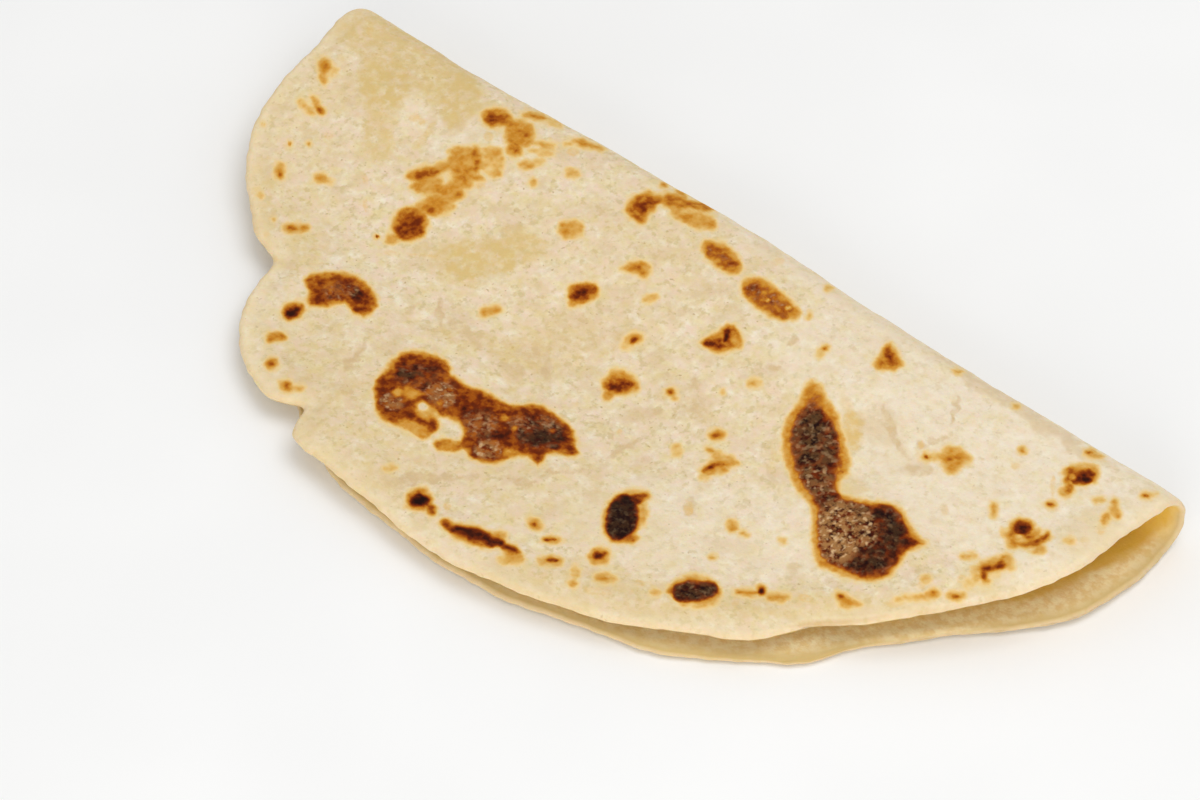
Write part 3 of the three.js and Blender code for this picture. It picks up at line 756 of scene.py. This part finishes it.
def sheet_attributes(u, s, inside, points, outer):
    """Named values that the crust's material reads at each vertex; outer is 1 outside and 0 inside."""
    places = np.array(spot_pixels(u, s, points))
    own_places = photo_pixels(points)
    warp = np.array([wander(points, 1, 7), wander(points, 2, 8)])
    wide = places + warp * PATCH_WANDER
    shown = smooth((s - SHOWN_FROM) / SHOWN_OVER) * outer
    tone = browning(*(places + warp), PHOTO_SPOTS, PHOTO_OUTLINES, PHOTO_HOLES)
    hidden = browning(*(np.array([u, s]) * PIXELS_PER_MM + warp), hidden_spots(), [], [])
    hidden = outer * hidden + (1 - outer) * NO_TONE
    toasted_and_shaded = np.maximum(patches(*places, PHOTO_TOASTED_AND_SHADE), EDGE_TOASTED_AND_SHADE + HIDDEN_EDGE_MORE * (1 - shown))
    less_rim_shade = patches(*own_places, PHOTO_LESS_RIM_SHADE)
    return {
        "tone": shown * tone + (1 - shown) * hidden,
        "specks": patches(*places, PHOTO_SPECKS) * shown + HIDDEN_SPECKS * (1 - shown),
        "faint": patches(*(places + warp), PHOTO_FAINT) * shown,
        "yellow": patches(*wide, PHOTO_YELLOWS) * shown,
        # Tan patches, and painted shade in creases and along the fold
        "tan": patches(*wide, PHOTO_TANS_AND_CREASE_SHADE) * shown,
        # Paler floury dough, and painted light on the left rim
        "pale": patches(*wide, PHOTO_PALES_AND_LIGHT) * shown,
        "rim": 1 - smooth(inside / PALE_RIM_WIDTH),
        # A golden-brown line at the rim: toasting and painted shade under the rim
        "edge": (1 - smooth(inside / EDGE_BAND)) * toasted_and_shaded,
        "inner": np.full(u.shape, 1.0 - outer),
        # Painted shade along the inner faces' rim, weaker where listed
        "painted_rim_shade": (1 - smooth(inside / RIM_SHADE_WIDTH)) * (1 - less_rim_shade),
        # Painted shade inside the gape
        "painted_gape_shade": patches(*own_places, PHOTO_GAPE_SHADE) * (1 - outer),
    }


def shift_onto_cad(points):
    """How far to move the points onto the CAD node's box: middle on middle, and on the same surface."""
    low, high = points.min(axis=0), points.max(axis=0)
    cad_low, cad_high = (np.array(corner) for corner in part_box("roti"))
    shift = (cad_low + cad_high) / 2 / MM - (low + high) / 2
    shift[2] = cad_low[2] / MM - low[2]
    return shift


def bread_mesh():
    """The bread's skin as one closed mesh in metres, with the material's values as attributes."""
    u, s, inside = sheet_grid()
    rows = list(range(0, u.shape[0], INNER_STEP))
    columns = list(range(0, u.shape[1], INNER_STEP))
    pick = np.ix_(rows[1:-1], columns[1:-1])
    outer_places = u, s, inside
    inner_places = u[pick], s[pick], inside[pick]
    outer_points = outer_skin(*outer_places)
    inner_points = inner_skin(*inner_places)

    outer_index = np.arange(u.size).reshape(u.shape)
    inner_index = outer_index.copy()
    inner_index[pick] = u.size + np.arange(u[pick].size).reshape(u[pick].shape)
    faces = outer_faces(outer_index) + inner_faces(inner_index, rows, columns)

    points = np.concatenate([outer_points.reshape(-1, 3), inner_points.reshape(-1, 3)])
    shift = shift_onto_cad(points)
    mesh = bpy.data.meshes.new("roti_bread")
    mesh.from_pydata(((points + shift) * MM).tolist(), [], faces)
    mesh.shade_smooth()

    outer_values = sheet_attributes(*outer_places, outer_points, 1.0)
    inner_values = sheet_attributes(*inner_places, inner_points, 0.0)
    for name in outer_values:
        values = np.concatenate([outer_values[name].ravel(), inner_values[name].ravel()])
        mesh.attributes.new(name, "FLOAT", "POINT").data.foreach_set("value", values.astype(np.float32))
    mesh.update()
    return mesh, Vector(shift)


# Materials

class Shader:
    """A material's node tree, with a short call for each kind of node."""

    def __init__(self, name):
        self.material = bpy.data.materials.new(name)
        self.material.use_nodes = True
        self.tree = self.material.node_tree
        self.surface = self.tree.nodes["Principled BSDF"]

    def put(self, node, inputs):
        """Link or set a node's inputs."""
        for key, value in inputs.items():
            if isinstance(value, bpy.types.NodeSocket):
                self.tree.links.new(value, node.inputs[key])
            else:
                node.inputs[key].default_value = value

    def node(self, kind, inputs, **settings):
        made = self.tree.nodes.new(kind)
        for name, value in settings.items():
            setattr(made, name, value)
        self.put(made, inputs)
        return made

    def value(self, name):
        """A value stored on the mesh."""
        return self.node("ShaderNodeAttribute", {}, attribute_name=name).outputs["Fac"]

    def noise(self, size, detail, roughness, offset):
        """Noise with features of about the given size in millimetres, 0 to 1."""
        place = self.node("ShaderNodeTexCoord", {}).outputs["Object"]
        moved = self.node("ShaderNodeVectorMath", {0: place, 1: (offset, offset * 0.7, -offset)}).outputs[0]
        inputs = {"Vector": moved, "Scale": 1 / (size * MM), "Detail": detail, "Roughness": roughness}
        return self.node("ShaderNodeTexNoise", inputs).outputs["Fac"]

    def math(self, operation, first, second=0.0, third=0.0):
        return self.node("ShaderNodeMath", {0: first, 1: second, 2: third}, operation=operation).outputs[0]

    def fade(self, value, start, end, low=0.0, high=1.0):
        """A smooth step from low at start to high at end."""
        inputs = {"Value": value, "From Min": start, "From Max": end, "To Min": low, "To Max": high}
        return self.node("ShaderNodeMapRange", inputs, interpolation_type="SMOOTHSTEP").outputs["Result"]

    def layer(self, size, detail, roughness, offset, *fade):
        """Noise that fades in between two of its own values."""
        return self.fade(self.noise(size, detail, roughness, offset), *fade)

    def mix(self, factor, first, second):
        made = self.node("ShaderNodeMix", {"Factor": factor, 6: first, 7: second}, data_type="RGBA")
        return made.outputs[2]

    def ramp(self, value, stops):
        """Colours by value; each stop is a value and its colour."""
        low, high = stops[0][0], stops[-1][0]
        share = self.node("ShaderNodeMapRange", {"Value": value, "From Min": low, "From Max": high})
        made = self.node("ShaderNodeValToRGB", {"Fac": share.outputs["Result"]})
        elements = made.color_ramp.elements
        while len(elements) < len(stops):
            elements.new(0.5)
        for element, (at, colour) in zip(elements, stops):
            element.position = (at - low) / (high - low)
            element.color = colour
        return made.outputs["Color"]


CREAM = srgb(243, 231, 208)
BEIGE = srgb(223, 204, 170)
PALE_YELLOW = srgb(227, 206, 148)
PINK_BEIGE = srgb(235, 210, 185)
FLOUR = srgb(248, 241, 224)
FLECK = srgb(208, 188, 138)
DARK_FLECK = srgb(184, 155, 108)
YELLOW = srgb(218, 189, 125)
TAN = srgb(214, 186, 142)
PALE_CREAM = srgb(242, 230, 208)
RIM_CREAM = srgb(244, 224, 182)
# Inner faces' tan: partly their own less floury colour, partly lightened as painted light in the shaded gap
INNER_TAN = srgb(238, 208, 146)
INNER_PALE = srgb(252, 236, 190)
# Painted shade: the inner faces darker along the rim, where the sheet turns down away from the light
INNER_RIM_SHADE = srgb(198, 169, 107)
# Painted shade, deep yellow, inside the gape under the upper rim
INNER_GAPE_SHADE = srgb(228, 184, 66)
# Rim line: partly toasting, partly painted shade under the rim
TOASTED_AND_SHADE = srgb(190, 146, 78)
HALO = srgb(234, 204, 144)
PALE_GOLD = srgb(228, 188, 114)
GOLD = srgb(216, 164, 80)
ORANGE = srgb(204, 138, 42)
ORANGE_BROWN = srgb(166, 86, 12)
BROWN = srgb(118, 42, 1)
DARK_BROWN = srgb(64, 17, 1)
NEAR_BLACK = srgb(30, 5, 2)
# Pale specks in the char: flour, and painted glints
PALE_SPECK_AND_GLINT = srgb(216, 178, 130)
WARM_SPECK = srgb(170, 122, 71)
FLOOR_GREY = srgb(249, 249, 248)
FLOOR_WHITE = srgb(252, 252, 251)

# Noise layers: the noise's size in millimetres, detail, roughness and offset, between which of its values
# the layer fades in, and from what to what where that isn't 0 to 1
DOUGH_CLOUDS = (1.6, 2.5, 0.6, 0.0, 0.3, 0.7)
UNEVEN = (2.0, 3.0, 0.6, 0.9, 0.32, 0.62, 0.4, 1.0)
INNER_CLOUDS = (1.8, 2.5, 0.6, 1.1, 0.35, 0.65)
RAGGED_EDGES = (1.4, 1.5, 0.5, 1.3, 0.25, 0.75, -0.5, 0.5)
BLOTCHES = (1.5, 2.0, 0.5, 1.9, 0.28, 0.72, -0.9, 0.7)
WARM_CRUMBS = (1.3, 2.0, 0.6, 2.3, 0.36, 0.6, 0.0, 0.9)
PALE_CRUMBS_AND_GLINTS = (1.1, 1.5, 0.5, 2.6, 0.5, 0.72)
FLOOR_CLOUDS = (60.0, 2.0, 0.5, 0.0, 0.3, 0.7)

# Mottling of the dough, one layer over the other: its colour and its noise layer
MOTTLING = [
    (PALE_YELLOW, (3.0, 2.5, 0.6, 0.2, 0.25, 0.75, 0.0, 0.8)),
    (PINK_BEIGE, (2.4, 2.5, 0.6, 0.4, 0.4, 0.7, 0.0, 0.8)),
    (FLOUR, (1.1, 1.5, 0.5, 0.3, 0.56, 0.76, 0.0, 0.12)),
    (FLECK, (1.5, 2.0, 0.55, 0.6, 0.53, 0.7, 0.0, 0.7)),
    (DARK_FLECK, (1.0, 1.0, 0.5, 0.8, 0.7, 0.8, 0.0, 0.7)),
    (TAN, (6.0, 3.0, 0.6, 0.5, 0.45, 0.75, 0.0, 0.5)),
]

# The colours of browning by tone
BROWNING_COLOURS = [
    (-0.3, HALO), (0.6, PALE_GOLD), (1.3, GOLD), (2.0, ORANGE), (2.9, ORANGE_BROWN), (3.9, BROWN),
    (5.0, DARK_BROWN), (6.0, NEAR_BLACK),
]

# What changes with the tone: from which tone to which, and from what to what
BROWNED_BY_TONE = (-2.0, 0.3)
RAGGED_BY_TONE = (0.5, 2.0, 1.0, 0.3)
BLOTCHY_BY_TONE = (0.5, 4.0, 0.3, 1.0)
CRUMBS_BY_TONE = (2.2, 3.6)
ROUGHNESS_BY_TONE = (1.5, 4.5, 0.82, 0.66)

# Fine relief of the skin: two noises, the finer one's share, and the rise in millimetres
CRUMB = (1.6, 4.0, 0.6, 3.1)
GRAIN = (0.45, 2.0, 0.6, 3.7)
GRAIN_SHARE = 0.4
CRUMB_RISE = 0.25

# How strongly the pale rim, the toasted line and the inner faces' own colours show
RIM_SHOWS = 0.45
EDGE_SHOWS = 0.7
INNER_SHOWS = 0.9


def inner_colour(m):
    """Inner faces: mottled tan lightened by painted light, painted shade at the rim, yellow painted shade
    in the gape.
    """
    mottled = m.mix(m.layer(*INNER_CLOUDS), INNER_TAN, INNER_PALE)
    rim_shaded = m.mix(m.value("painted_rim_shade"), mottled, INNER_RIM_SHADE)
    return m.mix(m.value("painted_gape_shade"), rim_shaded, INNER_GAPE_SHADE)


def dough_colour(m):
    """Floury dough: soft pale, yellow and pinkish mottling, flecks, and the wider patches."""
    colour = m.mix(m.layer(*DOUGH_CLOUDS), BEIGE, CREAM)
    for shade, layer in MOTTLING:
        colour = m.mix(m.layer(*layer), colour, shade)
    uneven = m.layer(*UNEVEN)
    # Painted light and shade here: tan paints crease shade, pale paints light on the left rim, edge and
    # inner paint shade
    for name, strength, shade in (
            ("pale", uneven, PALE_CREAM), ("yellow", uneven, YELLOW), ("tan", uneven, TAN),
            ("faint", uneven, PALE_GOLD), ("rim", RIM_SHOWS, RIM_CREAM), ("edge", EDGE_SHOWS, TOASTED_AND_SHADE),
            ("inner", INNER_SHOWS, inner_colour(m))):
        colour = m.mix(m.math("MULTIPLY", m.value(name), strength), colour, shade)
    return colour


def browned_tone(m):
    """The tone of the browning, roughened at the spots' edges and blotchy inside them."""
    tone = m.value("tone")
    tone = m.math("MULTIPLY_ADD", m.layer(*RAGGED_EDGES), m.fade(tone, *RAGGED_BY_TONE), tone)
    return m.math("MULTIPLY_ADD", m.layer(*BLOTCHES), m.fade(tone, *BLOTCHY_BY_TONE), tone)


def browned_colour(m, tone):
    """The colour of the browning, from golden to charred, with flour and painted glints in the dark spots.
    """
    in_char = m.math("MULTIPLY", m.value("specks"), m.fade(tone, *CRUMBS_BY_TONE))
    warm = m.math("MULTIPLY", in_char, m.layer(*WARM_CRUMBS))
    # Pale specks: flour, and painted glints of the charred crust
    pale = m.math("MULTIPLY", in_char, m.layer(*PALE_CRUMBS_AND_GLINTS))
    return m.mix(pale, m.mix(warm, m.ramp(tone, BROWNING_COLOURS), WARM_SPECK), PALE_SPECK_AND_GLINT)


def crust_material():
    """Soft floury dough with yellow patches and browned, charred spots."""
    m = Shader("crust")
    tone = browned_tone(m)
    colour = m.mix(m.fade(tone, *BROWNED_BY_TONE), dough_colour(m), browned_colour(m, tone))
    height = m.math("MULTIPLY_ADD", m.noise(*GRAIN), GRAIN_SHARE, m.noise(*CRUMB))
    bumped = m.node("ShaderNodeBump", {"Height": height, "Strength": 0.5, "Distance": CRUMB_RISE * MM})
    m.put(m.surface, {
        "Base Color": colour,
        "Normal": bumped.outputs["Normal"],
        "Roughness": m.fade(tone, *ROUGHNESS_BY_TONE),
        "Specular IOR Level": 0.08,
        "Subsurface Weight": 0.2,
        "Subsurface Radius": (1.0, 0.5, 0.2),
        "Subsurface Scale": 0.5 * MM,
    })
    return m.material


def floor_material():
    """A plain pale surface with a faint unevenness."""
    m = Shader("pale_floor")
    colour = m.mix(m.layer(*FLOOR_CLOUDS), FLOOR_GREY, FLOOR_WHITE)
    m.put(m.surface, {"Base Color": colour, "Roughness": 0.9})
    return m.material


# Scene

def add_object(name, data):
    made = bpy.data.objects.new(name, data)
    bpy.context.collection.objects.link(made)
    return made


def add_bread():
    mesh, shift = bread_mesh()
    mesh.materials.append(crust_material())
    bread = add_object("roti_bread", mesh)
    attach(bread, "root")
    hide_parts("roti")
    return shift


def add_floor():
    half = 6.0
    mesh = bpy.data.meshes.new("pale_floor")
    corners = [(-half, -half, 0), (half, -half, 0), (half, half, 0), (-half, half, 0)]
    mesh.from_pydata(corners, [], [(0, 1, 2, 3)])
    mesh.materials.append(floor_material())
    add_object("pale_floor", mesh)


def add_camera(shift):
    back, right, up = camera_axes()
    data = bpy.data.cameras.new("camera")
    data.sensor_width = SENSOR_WIDTH
    data.lens = CAMERA_LENS
    data.clip_start = 0.01
    camera = add_object("camera", data)
    place = (CAMERA_TARGET + back * CAMERA_DISTANCE + shift) * MM
    camera.matrix_world = Matrix.Translation(place) @ Matrix((right, up, back)).transposed().to_4x4()
    bpy.context.scene.camera = camera


def add_light(name, place, size, power):
    """A square soft light, in metres and watts, aimed at the bread."""
    data = bpy.data.lights.new(name, "AREA")
    data.size = size
    data.energy = power
    light = add_object(name, data)
    light.location = place
    light.rotation_euler = (-Vector(place)).to_track_quat("-Z", "Y").to_euler()


def add_studio():
    add_light("key", place=(0.25, 0.2, 0.97), size=0.8, power=3.45)
    add_light("fill", place=(0.55, -0.85, 0.22), size=0.7, power=5.2)
    world = bpy.data.worlds.new("studio")
    world.use_nodes = True
    background = world.node_tree.nodes["Background"]
    background.inputs["Color"].default_value = (1.0, 1.0, 1.0, 1.0)
    background.inputs["Strength"].default_value = 0.62
    bpy.context.scene.world = world
    bpy.context.scene.view_settings.view_transform = "Standard"


bread_shift = add_bread()
add_floor()
add_camera(bread_shift)
add_studio()
